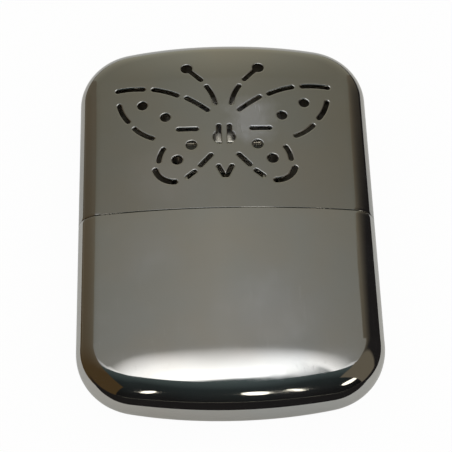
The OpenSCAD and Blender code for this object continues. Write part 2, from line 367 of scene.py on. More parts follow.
def build_room():
    world = bpy.data.worlds.new("room")
    bpy.context.scene.world = world
    world.use_nodes = True
    tree = world.node_tree
    tree.nodes.clear()
    x, y, z = place_parts(tree, "Generated")
    swing = math_node(tree, "ARCTAN2", z, y)
    lean = math_node(tree, "ARCSINE", x)
    aside = math_node(tree, "DIVIDE", lean, PANEL_BOW_SPAN)
    aside = math_node(tree, "MINIMUM", math_node(tree, "MULTIPLY", aside, aside), 1.0)
    bow = math_node(tree, "MULTIPLY", aside, PANEL_BOW_MOST)
    bow_share = rescaled(tree, swing, PANEL_BOW_FROM, PANEL_BOW_FULL)
    swing = math_node(tree, "MULTIPLY_ADD", bow, bow_share, swing)
    sweep = [(place, tinted(light / ROOM_PEAK, tint)) for place, light, tint in ROOM_SWEEP]
    light = spread_ramp(tree, swing, sweep, 0, 180, math.radians(1))
    side = side_ramp(tree, lean, SIDE_RAMPS[0])
    for stops, (first, last) in zip(SIDE_RAMPS[1:], SIDE_CHANGES):
        share = rescaled(tree, swing, math.radians(first), math.radians(last))
        side = mix_colour(tree, share, side, side_ramp(tree, lean, stops))
    room = mix_colour(tree, 1.0, light, side, "MULTIPLY")
    seen = new_node(tree, "ShaderNodeLightPath").outputs
    shiny = math_node(tree, "MAXIMUM", seen["Is Glossy Ray"], seen["Is Transmission Ray"])
    soft = plain_sky(tree, SOFT_SKY, SOFT_SKY_LIGHT)
    around = mix_shaders(tree, shiny, soft, plain_sky(tree, room, ROOM_PEAK))
    final = mix_shaders(tree, seen["Is Camera Ray"], around, plain_sky(tree, (1, 1, 1, 1), 1.0))
    tree.links.new(final, new_node(tree, "ShaderNodeOutputWorld").inputs[0])


build_room()

# %% Lamps on the camera's side
LAMP_AWAY = 1.6
LAMP_WAYS = {
    "lamp_left": ((-0.271, -0.748, 0.606), (0.085, 0.40), 4.5),
    "lamp_middle": ((0.092, -0.758, 0.645), (0.135, 0.44), 4.5),
    "lamp_right": ((0.229, -0.724, 0.653), (0.032, 0.40), 9.0),
    "lamp_far_right": ((0.668, -0.530, 0.525), (0.72, 0.36), 3.2),
}
LAMP_COLOUR = (1.0, 0.93, 0.80)
LAMP_AIM = Vector((0, -44 * MM, MID_Z))


def add_lamp(name, way, size, light):
    spot = LAMP_AIM + Vector(way).normalized() * LAMP_AWAY
    bpy.ops.object.light_add(type="AREA", location=spot)
    lamp = named(name)
    lamp.rotation_euler = (LAMP_AIM - spot).to_track_quat("-Z", "Y").to_euler()
    lamp.data.shape = "ELLIPSE"
    lamp.data.size = size[0]
    lamp.data.size_y = size[1]
    lamp.data.color = LAMP_COLOUR
    lamp.data.energy = light * math.pi * math.pi * size[0] * size[1] / 4


for name, (way, size, light) in LAMP_WAYS.items():
    add_lamp(name, way, size, light)

# %% [markdown]
# The table is a small pale one. In the polished rim its edge shows as a sharp line, with
# the dark room in front of it and a wall at each side. These cards and walls are there
# for the reflections alone: the camera doesn't see them and they throw no shadow.

# %% Pale floor
FLOOR_SIZE = 3.0
FLOOR_PAINT = (0.80, 0.80, 0.76, 1)
FLOOR_GLOW = 0.965


def bare_material(name):
    material = bpy.data.materials.new(name)
    material.use_nodes = True
    material.node_tree.nodes.clear()
    return material, material.node_tree


def show_surface(tree, result):
    tree.links.new(result, new_node(tree, "ShaderNodeOutputMaterial").inputs["Surface"])


def floor_finish():
    material, tree = bare_material("pale_floor")
    seen = new_node(tree, "ShaderNodeLightPath").outputs
    paper = new_node(tree, "ShaderNodeBsdfDiffuse")
    paper.inputs["Color"].default_value = FLOOR_PAINT
    glow = new_node(tree, "ShaderNodeEmission")
    glow.inputs["Color"].default_value = (1, 1, 1, 1)
    share = math_node(tree, "MULTIPLY", seen["Is Camera Ray"], FLOOR_GLOW)
    show_surface(tree, mix_shaders(tree, share, paper.outputs[0], glow.outputs[0]))
    return material


pick_nothing()
bpy.ops.mesh.primitive_plane_add(size=FLOOR_SIZE)
floor = named("floor")
floor.data.materials.append(floor_finish())
floor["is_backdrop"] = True

# %% Cards past the table's edges, and the walls at both sides
CARD_LIFT = 0.3 * MM
FAR = 1.4
TABLE_FRONT = -57 * MM
TABLE_LEFT = -69 * MM
TABLE_RIGHT = 67 * MM
WALL_X = 300 * MM
WALL_BACK = 420 * MM
# The lit part of the right wall lies above a line that climbs by this slope
PATCH_SLANT = 1.75
PATCH_FROM = 65 * MM
PATCH_FULL = 105 * MM
BROWN = (0.11, 0.07, 0.03)
NEAR_BLACK = (0.024, 0.022, 0.022)
FAR_WALL = (0.22, 0.19, 0.14)
# Along each wall and the left card: the place in mm, and the light there
LEFT_WALL = [(0, BROWN), (300, FAR_WALL)]
RIGHT_WALL = [(180, NEAR_BLACK), (400, FAR_WALL)]
LEFT_CARD = [(0, BROWN), (60, FAR_WALL)]


def hide_from_camera(card):
    card.visible_camera = False
    card.visible_diffuse = False
    card.visible_shadow = False
    card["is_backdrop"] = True


def glowing(name, build):
    material, tree = bare_material(name)
    glow = new_node(tree, "ShaderNodeEmission")
    feed(tree, glow.inputs["Color"], build(tree))
    show_surface(tree, glow.outputs[0])
    return material


def along_wall(tree, stops):
    """Light that changes along Y, between the first and the last stop."""
    return spread_ramp(tree, place_parts(tree, "Object")["Y"], stops, stops[0][0], stops[-1][0], MM)


def right_wall_light(tree):
    """A dark wall with a lit part above a slanting line."""
    x, y, z = place_parts(tree, "Object")
    above = math_node(tree, "MULTIPLY_ADD", y, -PATCH_SLANT, z)
    share = rescaled(tree, above, PATCH_FROM, PATCH_FULL)
    return mix_colour(tree, share, along_wall(tree, RIGHT_WALL), (*FAR_WALL, 1))


def add_card(name, low, high, material):
    """A flat card between two corners, of which one coordinate is the same."""
    pick_nothing()
    bpy.ops.mesh.primitive_plane_add(size=2)
    card = named(name)
    flat = points_of(card)
    low, high = np.array(low), np.array(high)
    across, up = np.flatnonzero(high != low)
    points = np.tile(low, (4, 1))
    points[:, across] = np.where(flat[:, 0] > 0, high[across], low[across])
    points[:, up] = np.where(flat[:, 1] > 0, high[up], low[up])
    put_points(card, points)
    card.data.materials.append(material)
    hide_from_camera(card)


dark = glowing("dark", lambda tree: (*NEAR_BLACK, 1))
brown = glowing("brown", lambda tree: along_wall(tree, LEFT_CARD))
left_light = glowing("left_light", lambda tree: along_wall(tree, LEFT_WALL))
right_light = glowing("right_light", right_wall_light)
add_card("card_front", (-FAR, -FAR, CARD_LIFT), (FAR, TABLE_FRONT, CARD_LIFT), dark)
add_card("card_left", (-WALL_X, TABLE_FRONT, CARD_LIFT), (TABLE_LEFT, WALL_BACK, CARD_LIFT), brown)
add_card("card_right", (TABLE_RIGHT, TABLE_FRONT, CARD_LIFT), (WALL_X, WALL_BACK, CARD_LIFT), dark)
add_card("wall_left", (-WALL_X, -400 * MM, 0), (-WALL_X, WALL_BACK, 470 * MM), left_light)
add_card("wall_right", (WALL_X, -190 * MM, 0), (WALL_X, WALL_BACK, 640 * MM), right_light)

# %% [markdown]
# ## Finishes
#
# The shells are polished nickel of a dark, warm grey. A perfect mirror would look like a
# drawing, so it gets what real plating has: a slow wander of tone, a little haze where
# fingers rubbed it, hair scratches that run along the case and a very fine ripple.


# %% Helpers for finishes
def new_finish(name, colour, metallic, roughness):
    material = bpy.data.materials.new(name)
    material.use_nodes = True
    shader = material.node_tree.nodes["Principled BSDF"]
    shader.inputs["Base Color"].default_value = (*colour, 1)
    shader.inputs["Metallic"].default_value = metallic
    shader.inputs["Roughness"].default_value = roughness
    return material, material.node_tree, shader


def place_on_piece(tree, scale=(1, 1, 1), turn=(0, 0, 0)):
    mapping = new_node(tree, "ShaderNodeMapping")
    mapping.inputs["Scale"].default_value = scale
    mapping.inputs["Rotation"].default_value = turn
    tree.links.new(new_node(tree, "ShaderNodeTexCoord").outputs["Object"], mapping.inputs[0])
    return mapping.outputs[0]


def grain(tree, where, scale, detail=2.0, roughness=0.5):
    node = new_node(tree, "ShaderNodeTexNoise")
    node.inputs["Scale"].default_value = scale
    node.inputs["Detail"].default_value = detail
    node.inputs["Roughness"].default_value = roughness
    tree.links.new(where, node.inputs["Vector"])
    return node.outputs["Fac"]


def raise_surface(tree, shader, height, depth):
    node = new_node(tree, "ShaderNodeBump")
    node.inputs["Strength"].default_value = 1.0
    node.inputs["Distance"].default_value = depth
    tree.links.new(height, node.inputs["Height"])
    tree.links.new(node.outputs[0], shader.inputs["Normal"])


# %% Polished nickel of the case
CASE_COLOUR = (0.43, 0.425, 0.41)
CASE_WARM = (0.440, 0.424, 0.398)
CASE_COOL = (0.422, 0.426, 0.420)
HAZE_COLOUR = (0.47, 0.475, 0.51, 1)
HAZE_ROUGHNESS = 0.22
HAZE_RAGGED = 9
HAIR_GRAIN = 6000
RIPPLE_DEPTH = 0.012 * MM


def spot_mask(tree, middle, inner, outer, ragged):
    """A soft ragged spot on the piece round a point in mm: 1 in its middle, 0 outside."""
    where = place_on_piece(tree)
    offset = grain(tree, where, 180, 3.0, 0.6)
    node = new_node(tree, "ShaderNodeVectorMath", operation="DISTANCE")
    tree.links.new(where, node.inputs[0])
    node.inputs[1].default_value = tuple(value * MM for value in middle)
    far = math_node(tree, "MULTIPLY_ADD", offset, ragged * MM, node.outputs["Value"])
    far = math_node(tree, "SUBTRACT", far, ragged * MM / 2)
    return rescaled(tree, far, inner * MM, outer * MM, 1.0, 0.0)


def polished_case(name, tone, haze):
    material, tree, shader = new_finish(name, CASE_COLOUR, 1.0, 0.07)
    where = place_on_piece(tree)
    spread = rescaled(tree, grain(tree, where, 55, 2.0), 0.35, 0.65)
    colour = mix_colour(tree, spread, (*CASE_WARM, 1), (*CASE_COOL, 1))
    # The tone multiplies the colour. It paints the cap's copy darker and the tank's a little lighter: painted
    # shade and painted light on one nickel.
    colour = mix_colour(tree, 1.0, colour, (tone, tone, tone, 1), "MULTIPLY")
    rubbed = rescaled(tree, grain(tree, where, 120, 4.0, 0.6), 0.45, 0.75, 0.045, 0.12)
    hairs = grain(tree, place_on_piece(tree, (1, 0.02, 1), (0, 0, 0.08)), HAIR_GRAIN, 1.0)
    hair_lines = rescaled(tree, hairs, 0.70, 0.74, 0.0, 0.10)
    roughness = math_node(tree, "ADD", rubbed, hair_lines)
    for middle, inner, outer, strength in haze:
        mask = math_node(tree, "MULTIPLY", spot_mask(tree, middle, inner, outer, HAZE_RAGGED), strength)
        roughness = math_node(tree, "MULTIPLY_ADD", mask, HAZE_ROUGHNESS, roughness)
        colour = mix_colour(tree, mask, colour, HAZE_COLOUR)
    tree.links.new(colour, shader.inputs["Base Color"])
    tree.links.new(roughness, shader.inputs["Roughness"])
    raise_surface(tree, shader, grain(tree, where, 160, 1.0), RIPPLE_DEPTH)
    return material


# Rubbed or breathed-on spots: the middle in mm, the inner and outer reach, the strength
CAP_HAZE = [((6.3, 24.4, 15), 3, 7.5, 0.8), ((-14, 8, 15), 2, 11, 0.25)]
TANK_HAZE = [((9, -28, 15), 3, 15, 0.35), ((-18, -12, 14), 2, 9, 0.2)]
# Cap and tank are the same nickel. The cap's copy is painted darker (0.86) and the tank's a little lighter
# (1.03), as painted shade and painted light.
case_cap_finish_painted_darker = polished_case("case_cap_finish_painted_darker", 0.86, CAP_HAZE)
case_tank_finish_painted_lighter = polished_case("case_tank_finish_painted_lighter", 1.03, TANK_HAZE)


# %% Plain metals of the fittings
def plain_metal(name, colour, low, high, scale=300, metallic=1.0):
    material, tree, shader = new_finish(name, colour, metallic, (low + high) / 2)
    where = place_on_piece(tree)
    rubbed = rescaled(tree, grain(tree, where, scale, 4.0, 0.6), 0.35, 0.7, low, high)
    tree.links.new(rubbed, shader.inputs["Roughness"])
    dull = tuple(0.82 * channel for channel in colour)
    stain = rescaled(tree, grain(tree, where, scale / 3, 3.0), 0.4, 0.65)
    tree.links.new(mix_colour(tree, stain, (*colour, 1), (*dull, 1)), shader.inputs["Base Color"])
    raise_surface(tree, shader, grain(tree, where, scale * 4, 2.0), 0.01 * MM)
    return material


collar_finish = plain_metal("collar_finish", (0.66, 0.64, 0.59), 0.18, 0.32)
neck_finish = plain_metal("neck_finish", (0.72, 0.71, 0.68), 0.14, 0.26)
burner_finish = plain_metal("burner_finish", (0.72, 0.69, 0.62), 0.22, 0.36, metallic=0.85)
inside_finish = plain_metal("inside_finish", (0.50, 0.46, 0.38), 0.40, 0.58, metallic=0.5)
gauze_finish = plain_metal("gauze_finish", (0.55, 0.54, 0.52), 0.25, 0.40, 900)


# %% Fibres of the cotton, the wick and the catalyst
def fibre_finish(name, colour, painted_hollow_shade, scale, depth):
    material, tree, shader = new_finish(name, colour, 0.0, 0.95)
    where = place_on_piece(tree)
    tangle = grain(tree, where, scale, 6.0, 0.7)
    # The same noise raises the bump, so the tufts' hollows take the darker colour: a painted shade in the
    # hollows.
    tone = rescaled(tree, tangle, 0.3, 0.7)
    tree.links.new(mix_colour(tree, tone, (*painted_hollow_shade, 1), (*colour, 1)), shader.inputs["Base Color"])
    shader.inputs["Sheen Weight"].default_value = 0.3
    shader.inputs["Sheen Roughness"].default_value = 0.5
    raise_surface(tree, shader, tangle, depth)
    return material


# The second colour of each is the painted shade in the fibres' hollows.
cotton_finish = fibre_finish("cotton_finish", (0.86, 0.83, 0.76), (0.66, 0.62, 0.54), 700, 0.4 * MM)
wick_finish = fibre_finish("wick_finish", (0.84, 0.80, 0.72), (0.55, 0.50, 0.42), 1200, 0.3 * MM)
catalyst_finish = fibre_finish("catalyst_finish", (0.62, 0.61, 0.59), (0.34, 0.33, 0.32), 1500, 0.25 * MM)

# %% [markdown]
# ## The form of the case
#
# Each shell is deep drawn: one sheet is pressed over a form. The form is a thin crowned
# core with a round edge all about it. The same rule gives every point of the polished
# surface here, because a lump of a hundredth of a millimetre would show as a bent
# reflection. A box without its open face is cut into cells, and each of its points is
# pressed onto the form: across (u), along (s) and over the rim (w).

# %% Sizes of the case
cap_low, cap_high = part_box("cap_shell")
TANK_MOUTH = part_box("tank_shell")[1].y
WIDTH = cap_high.x - cap_low.x
THICK = cap_high.z - cap_low.z
END_Y = cap_high.y
CAP_MOUTH = cap_low.y
EDGE_R = 5.2 * MM
CORNER_R = 13.8 * MM
END_BOW_R = 131 * MM
SHOULDER_LEN = 13 * MM
SHOULDER_DROP = 0.9 * MM
RIM_BAND = 0.6 * MM
CASE_WALL = 0.5 * MM
LIP_R = 0.14 * MM

CORE_X = WIDTH / 2 - EDGE_R
CROWN_RISE = THICK / 2 - EDGE_R - RIM_BAND / 2
CROWN_R = (CORE_X ** 2 + CROWN_RISE ** 2) / (2 * CROWN_RISE)
SHOULDER_Y = END_Y - SHOULDER_LEN
CORNER_CORE_R = CORNER_R - EDGE_R
BOW_CORE_R = END_BOW_R - EDGE_R
BOW_Y = END_Y - END_BOW_R
CORNER_X = CORE_X - CORNER_CORE_R
CORNER_Y = BOW_Y + math.sqrt((BOW_CORE_R - CORNER_CORE_R) ** 2 - CORNER_X ** 2)
CORNER_TURN = math.atan2(CORNER_Y - BOW_Y, CORNER_X)
LAST_X = CORNER_X + CORNER_CORE_R * math.cos(CORNER_TURN)
LAST_Y = CORNER_Y + CORNER_CORE_R * math.sin(CORNER_TURN)
BAND_W = 0.04
TINY = 1e-12
print("crown radius mm", round(CROWN_R / MM, 1), "corner turn", round(math.degrees(CORNER_TURN), 1))


# %% The rule of the case's surface
def crown(x):
    return np.sqrt(CROWN_R ** 2 - x ** 2) - (CROWN_R - CROWN_RISE)


def fall(y):
    return np.maximum(0, y - SHOULDER_Y) / (SHOULDER_LEN - EDGE_R)


def fade(y):
    return 1 - SHOULDER_DROP / CROWN_RISE * fall(y) ** 2


def bow_over(x):
    return BOW_Y + np.sqrt(BOW_CORE_R ** 2 - x ** 2)


def face_way(x, y):
    """The direction that the core's upper face looks at x, y."""
    lean_x = x / np.sqrt(CROWN_R ** 2 - x ** 2) * fade(y)
    lean_y = crown(x) * 2 * SHOULDER_DROP / CROWN_RISE * fall(y) / (SHOULDER_LEN - EDGE_R)
    way = np.column_stack([lean_x, lean_y, np.ones_like(lean_x)])
    return way / np.linalg.norm(way, axis=1, keepdims=True)


def pressed(places, radius, mouth):
    """Where the points u, s, w of a cut box land on the form, at this distance from its core."""
    u, s, w = places.T
    past = np.clip(s - 1, 0, 1)
    turn = CORNER_TURN * past
    row_x = CORNER_X + CORNER_CORE_R * np.cos(turn)
    row_y = np.where(s < 1, mouth + s * (CORNER_Y - mouth), CORNER_Y + CORNER_CORE_R * np.sin(turn))
    x = u * row_x
    y = row_y + past * (bow_over(u * LAST_X) - LAST_Y)
    at_end = s > 2 - 1e-6
    out_x = np.where(at_end, x, np.sign(u) * np.cos(turn))
    out_y = np.where(at_end, y - BOW_Y, np.sin(turn))
    out = np.column_stack([out_x, out_y, np.zeros_like(x)])
    out /= np.maximum(np.linalg.norm(out, axis=1, keepdims=True), TINY)
    over = np.radians(90) * np.clip((np.abs(w) - BAND_W) / (1 - BAND_W), 0, 1)
    way = np.cos(over)[:, None] * out + np.sin(over)[:, None] * face_way(x, y)
    way /= np.linalg.norm(way, axis=1, keepdims=True)
    rise = (RIM_BAND / 2 + crown(x) * fade(y)) * np.clip(np.abs(w) / BAND_W, 0, 1)
    lip = LIP_R - np.sqrt(np.maximum(0, LIP_R ** 2 - np.clip(LIP_R - (y - mouth), 0, LIP_R) ** 2))
    reach = radius - lip
    z = np.sign(w) * (rise + reach * way[:, 2])
    return np.column_stack([x + reach * way[:, 0], y + reach * way[:, 1], MID_Z + z])


# %% The box that is cut into cells and pressed
CELL = 0.8 * MM
STRAIGHT = CORNER_Y - CAP_MOUTH
CORNER_CELLS = 18
RIM_CELLS = 12


def column_places(cell):
    across = round(2 * CORE_X / cell)
    return [2 * i / across - 1 for i in range(1, across)]


def rim_places(count):
    upper = [BAND_W + (1 - BAND_W) * i / count for i in range(count)]
    return upper + [-place for place in upper]


def case_rows():
    along = round(STRAIGHT / CELL)
    rows = [lip * LIP_R / STRAIGHT for lip in (0.12, 0.3, 0.6, 1.0)]
    rows += [i / along for i in range(1, along + 1)]
    return rows + [1 + i / CORNER_CELLS for i in range(1, CORNER_CELLS)]


def cut_box(name, columns, rows, steps, open_ends):
    pick_nothing()
    bpy.ops.mesh.primitive_cube_add(size=2, location=(0, 1, 0))
    bpy.ops.object.transform_apply(location=True)
    box = named(name)
    end_places = face_centres(box)[:, 1]
    ends = (end_places < 0.01) | (open_ends & (end_places > 1.99))
    change_faces(box, ends, bpy.ops.mesh.delete, type="FACE")
    edit(box)
    for axis, places in enumerate((columns, rows, steps)):
        for place in places:
            at = [0, 0, 0]
            at[axis] = place
            way = [0, 0, 0]
            way[axis] = 1
            bpy.ops.mesh.select_all(action="SELECT")
            bpy.ops.mesh.bisect(plane_co=at, plane_no=way)
    leave()
    return box


blank = cut_box("blank", column_places(CELL), case_rows(), rim_places(RIM_CELLS), open_ends=False)
print("cells in the cut box:", len(blank.data.polygons))

# %% [markdown]
# ## The butterfly of vents
#
# The slots are punched from the outside, so the metal around each one is drawn in a
# little before it shears: a soft roll-over that catches the light. First the cells near
# a slot are subdivided until the roll has enough of them, then the sheet sinks towards
# the slot's outline, and last the slots are cut with punches. The outline of a slot is
# a line, straight or slightly bowed, with a round end at each side.

# %% Places of the vents
VENT_W = 1.05
SPINE_W = 1.4
KNOB_AT = (8.4, 40.0)
KNOB_D = 2.7
TIP_W = 1.25
BELLY_R = 1.9
BELLY_AT = 19.7
BODY_SLOT_TOP = 23.4
SLOT_X = (SPINE_W + VENT_W) / 2
TAIL_AT = (1.5, 11.4)
# One wing's slots, in mm from the middle and from the seam: both ends, the bow, the width
WING_SLOTS = [
    ((24.6, 34.5), (18.6, 34.5), -0.2, VENT_W),
    ((16.2, 34.2), (10.7, 32.1), -0.2, VENT_W),
    ((8.5, 31.2), (3.7, 27.5), -0.1, VENT_W),
    ((24.2, 30.2), (22.1, 25.4), 0.3, VENT_W),
    ((20.6, 23.2), (16.5, 20.1), 0.3, VENT_W),
    ((10.5, 22.2), (6.4, 22.1), 0, VENT_W),
    ((14.0, 16.8), (15.1, 13.5), 0.2, VENT_W),
    ((3.2, 14.6), (5.6, 11.8), 0, VENT_W),
    ((7.0, 10.1), (8.6, 8.7), 0, VENT_W),
    (TAIL_AT, (0.35, 8.9), 0, VENT_W),
    (KNOB_AT, (5.1, 36.4), 0, VENT_W),
    ((3.8, 34.4), (1.9, 29.4), -0.3, VENT_W),
    ((15.9, 11.0), (11.5, 7.5), 0.95, TIP_W),
    ((SLOT_X, BELLY_AT - BELLY_R + VENT_W / 2), (SLOT_X, BODY_SLOT_TOP - VENT_W / 2), 0, VENT_W),
]
# Round holes of one wing: the place and the diameter
WING_HOLES = [
    ((18.8, 29.7), 2.35), ((13.5, 25.9), 2.35), ((7.6, 17.6), 2.5), ((10.9, 13.6), 2.5),
]
SEAM_Y = TANK_MOUTH


# %% The line of a slot, and how far a point lies from it
def slot_arc(start, end, bow):
    """The middle, radius and half angle of a bowed slot's line, and where the arc's crest points."""
    start, end = np.array(start), np.array(end)
    span = np.linalg.norm(end - start)
    along = (end - start) / span
    left = np.array([-along[1], along[0]])
    radius = (span ** 2 / 4 + bow ** 2) / (2 * abs(bow))
    crest = left * math.copysign(1, bow)
    middle = (start + end) / 2 + left * bow - crest * radius
    return middle, radius, math.asin(span / 2 / radius), crest


def slot_line(start, end, bow, count=9):
    """Points along a slot's middle line, with the direction across the slot at each."""
    start, end = np.array(start, float), np.array(end, float)
    if bow == 0:
        along = (end - start) / np.linalg.norm(end - start)
        left = np.array([-along[1], along[0]])
        return [(start, left), (end, left)]
    middle, radius, half, crest = slot_arc(start, end, bow)
    side = -math.copysign(1, bow)
    found = []
    for i in range(count):
        angle = side * half * (2 * i / (count - 1) - 1)
        turn = np.array([[math.cos(angle), -math.sin(angle)], [math.sin(angle), math.cos(angle)]])
        out = turn @ crest
        found.append((middle + radius * out, -side * out))
    return found


def far_from_slot(points, start, end, bow, width):
    start, end = np.array(start, float), np.array(end, float)
    to_ends = np.minimum(np.linalg.norm(points - start, axis=1), np.linalg.norm(points - end, axis=1))
    if bow == 0:
        along = end - start
        share = np.clip((points - start) @ along / (along @ along), 0, 1)
        return np.linalg.norm(points - start - share[:, None] * along, axis=1) - width / 2
    middle, radius, half, crest = slot_arc(start, end, bow)
    spoke = points - middle
    length = np.linalg.norm(spoke, axis=1)
    inside = spoke @ crest > length * math.cos(half)
    return np.where(inside, np.abs(length - radius), to_ends) - width / 2


def far_from_vents(points):
    """Distance in mm from the nearest vent's outline, below 0 inside it. Points are in metres."""
    flat = np.column_stack([np.abs(points[:, 0]), points[:, 1] - SEAM_Y]) / MM
    found = [far_from_slot(flat, *slot) for slot in WING_SLOTS]
    for place, diameter in WING_HOLES + [(KNOB_AT, KNOB_D)]:
        found.append(np.linalg.norm(flat - np.array(place), axis=1) - diameter / 2)
    belly = np.linalg.norm(flat - np.array((SPINE_W / 2, BELLY_AT)), axis=1) - BELLY_R
    found.append(np.maximum(belly, SPINE_W / 2 - flat[:, 0]))
    return np.min(found, axis=0)


# %% Finer cells near the vents
ROLL_W = 0.36
ROLL_DEPTH = 0.08
FINE_TIMES = 3
NO_AREA = 1e-9


def refine_near_vents(sheet):
    reach = CELL / MM
    for _ in range(FINE_TIMES):
        centres = face_centres(sheet)
        near = far_from_vents(pressed(centres, EDGE_R, CAP_MOUTH))
        chosen = (centres[:, 2] > 0.999) & (corner_counts(sheet) == 4)
        chosen &= np.abs(near - ROLL_W / 2) < ROLL_W + 0.6 * reach
        change_faces(sheet, chosen, bpy.ops.mesh.subdivide, number_cuts=1, quadcorner="INNERVERT")
        reach /= 2
    change_faces(sheet, face_areas(sheet) < NO_AREA, bpy.ops.mesh.merge, type="COLLAPSE")
    change_faces(sheet, corner_counts(sheet) > 4, bpy.ops.mesh.poke)


def roll_over(points):
    """How far the sheet sinks near a vent."""
    near = np.clip(far_from_vents(points) / ROLL_W, -1, 1)
    return np.where(near < 0, ROLL_DEPTH * (1 - 2 * near), ROLL_DEPTH * (1 - near) ** 2) * MM


# %% The two drawn shells
def drawn_shell(name, mouth, vented, outer_finish):
    outer = copy_of(blank, name)
    if vented:
        refine_near_vents(outer)
    places = points_of(outer)
    points = pressed(places, EDGE_R, mouth)
    if vented:
        front = places[:, 2] > 0.999
        points[front, 2] -= roll_over(points[front])
    put_points(outer, points)
    inner = copy_of(blank, name + "_inside")
    put_points(inner, pressed(points_of(inner), EDGE_R - CASE_WALL, mouth))
    outer.data.materials.append(outer_finish)
    inner.data.materials.append(inside_finish)
    flip(inner)
    shell = join(outer, inner)
    edit(shell, "EDGE")
    bpy.ops.mesh.select_all(action="DESELECT")
    bpy.ops.mesh.select_non_manifold(extend=False, use_wire=False, use_multi_face=False,
                                     use_non_contiguous=False, use_verts=False)
    bpy.ops.mesh.bridge_edge_loops()
    leave()
    return shell


cap = drawn_shell("cap_case", CAP_MOUTH, True, case_cap_finish_painted_darker)
tank = drawn_shell("tank_case", -TANK_MOUTH, False, case_tank_finish_painted_lighter)
pick(tank)
put_points(tank, points_of(tank) * (-1, -1, 1))
print("cap triangles", triangles(cap), "tank triangles", triangles(tank))

# %% Punches
PUNCH_LOW = 11.0 * MM
PUNCH_HIGH = 16.0 * MM
END_STEPS = 10


def round_end(place, left, width):
    """Points round a slot's end, from its left side over its tip."""
    ahead = np.array([left[1], -left[0]])
    turn = [math.pi * i / END_STEPS for i in range(1, END_STEPS)]
    return [place + width / 2 * (math.cos(a) * left + math.sin(a) * ahead) for a in turn]


def slot_outline(start, end, bow, width):
    """The outline of a slot: up its left side, round its end, back, and round its start."""
    line = slot_line(start, end, bow)
    outline = [place + left * width / 2 for place, left in line]
    outline += round_end(*line[-1], width)
    outline += [place - left * width / 2 for place, left in reversed(line)]
    return outline + round_end(*line[0], -width)


def hole_outline(place, diameter, count=36):
    turn = [2 * math.pi * i / count for i in range(count)]
    return [np.array(place) + diameter / 2 * np.array((math.cos(a), math.sin(a))) for a in turn]


def belly_outline():
    """The round side of a body slot, closed by a straight line inside the slot."""
    half = math.radians(88)
    turn = [half * (2 * i / 16 - 1) for i in range(17)]
    middle = np.array((SPINE_W / 2, BELLY_AT))
    round_side = [middle + BELLY_R * np.array((math.cos(a), math.sin(a))) for a in turn]
    return [point for point in round_side if point[0] > SPINE_W / 2 + 0.05]


def drawn_out(name, points, way):
    """A closed prism over these outline points, drawn out by this way."""
    pick_nothing()
    bpy.ops.mesh.primitive_circle_add(vertices=len(points), fill_type="NGON")
    prism = named(name)
    put_points(prism, points)
    edit_all(prism)
    bpy.ops.mesh.extrude_region_move(TRANSFORM_OT_translate={"value": way})
    bpy.ops.mesh.select_all(action="SELECT")
    bpy.ops.mesh.normals_make_consistent(inside=False)
    leave()
    return prism


def punch_of(outline, side):
    flat = np.array(outline) * MM
    low = np.full(len(flat), PUNCH_LOW)
    points = np.column_stack([side * flat[:, 0], flat[:, 1] + SEAM_Y, low])
    return drawn_out("punch", points, (0, 0, PUNCH_HIGH - PUNCH_LOW))


def cut_with(piece, tool):
    use_modifier(piece, "BOOLEAN", operation="DIFFERENCE", solver="EXACT", object=tool)
    bpy.data.objects.remove(tool)


def punch_vents(shell):
    tail = [slot_outline(*slot) for slot in WING_SLOTS if slot[0] == TAIL_AT]
    wing = [slot_outline(*slot) for slot in WING_SLOTS if slot[0] != TAIL_AT]
    wing += [hole_outline(*hole) for hole in WING_HOLES]
    extra = [hole_outline(KNOB_AT, KNOB_D), belly_outline()]
    for outlines, sides in ((wing, (1, -1)), (extra + tail, (1,)), (extra + tail, (-1,))):
        punches = [punch_of(outline, side) for outline in outlines for side in sides]
        cut_with(shell, join(punches[0], *punches[1:]))


punch_vents(cap)

# %% Shading of the plain faces, and the shells' places in the model
FORM_TOUCH = 0.004 * MM
PAST_SHOULDER = 4 * MM
SEEK_TIMES = 6


def true_shading(shell):
    """Gives each point that lies on the form's plain faces the form's own direction."""
    points = points_of(shell)
    x, y = points[:, 0].copy(), np.abs(points[:, 1])
    way = face_way(x, y)
    for _ in range(SEEK_TIMES):
        x, y = points[:, 0] - EDGE_R * way[:, 0], np.abs(points[:, 1]) - EDGE_R * way[:, 1]
        way = face_way(np.clip(x, -CORE_X, CORE_X), y)
    height = RIM_BAND / 2 + crown(np.clip(x, -CORE_X, CORE_X)) * fade(y) + EDGE_R * way[:, 2]
    up = points[:, 2] - MID_Z
    on_form = (np.abs(np.abs(up) - height) < FORM_TOUCH) & (np.abs(x) < CORE_X)
    on_form &= y < SHOULDER_Y + PAST_SHOULDER
    way[:, 1] *= np.sign(points[:, 1])
    way[:, 2] *= np.sign(up)
    way[~on_form] = 0
    shell.data.normals_split_custom_set_from_vertices(way)
    return on_form.mean()


for shell in (cap, tank):
    smooth(shell, 38)
    print(shell.name, "share of points with the form's own direction", round(true_shading(shell), 2))
bpy.data.objects.remove(blank)
print("cap triangles after the cuts", triangles(cap))

for shell, body, node in ((cap, "cap", "cap_shell"), (tank, "tank", "tank_shell")):
    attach(shell, body)
    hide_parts(node)

# %% [markdown]
# ## The collar
#
# The cap slides on this collar. It is drawn like the two shells, but straight: it follows
# the same outline a little further in, it has no rounded corners, and its top edge turns
# over into a flat deck. A box that is open at both ends is pressed to it, the deck is
# filled in, and the sheet gets its thickness inwards.

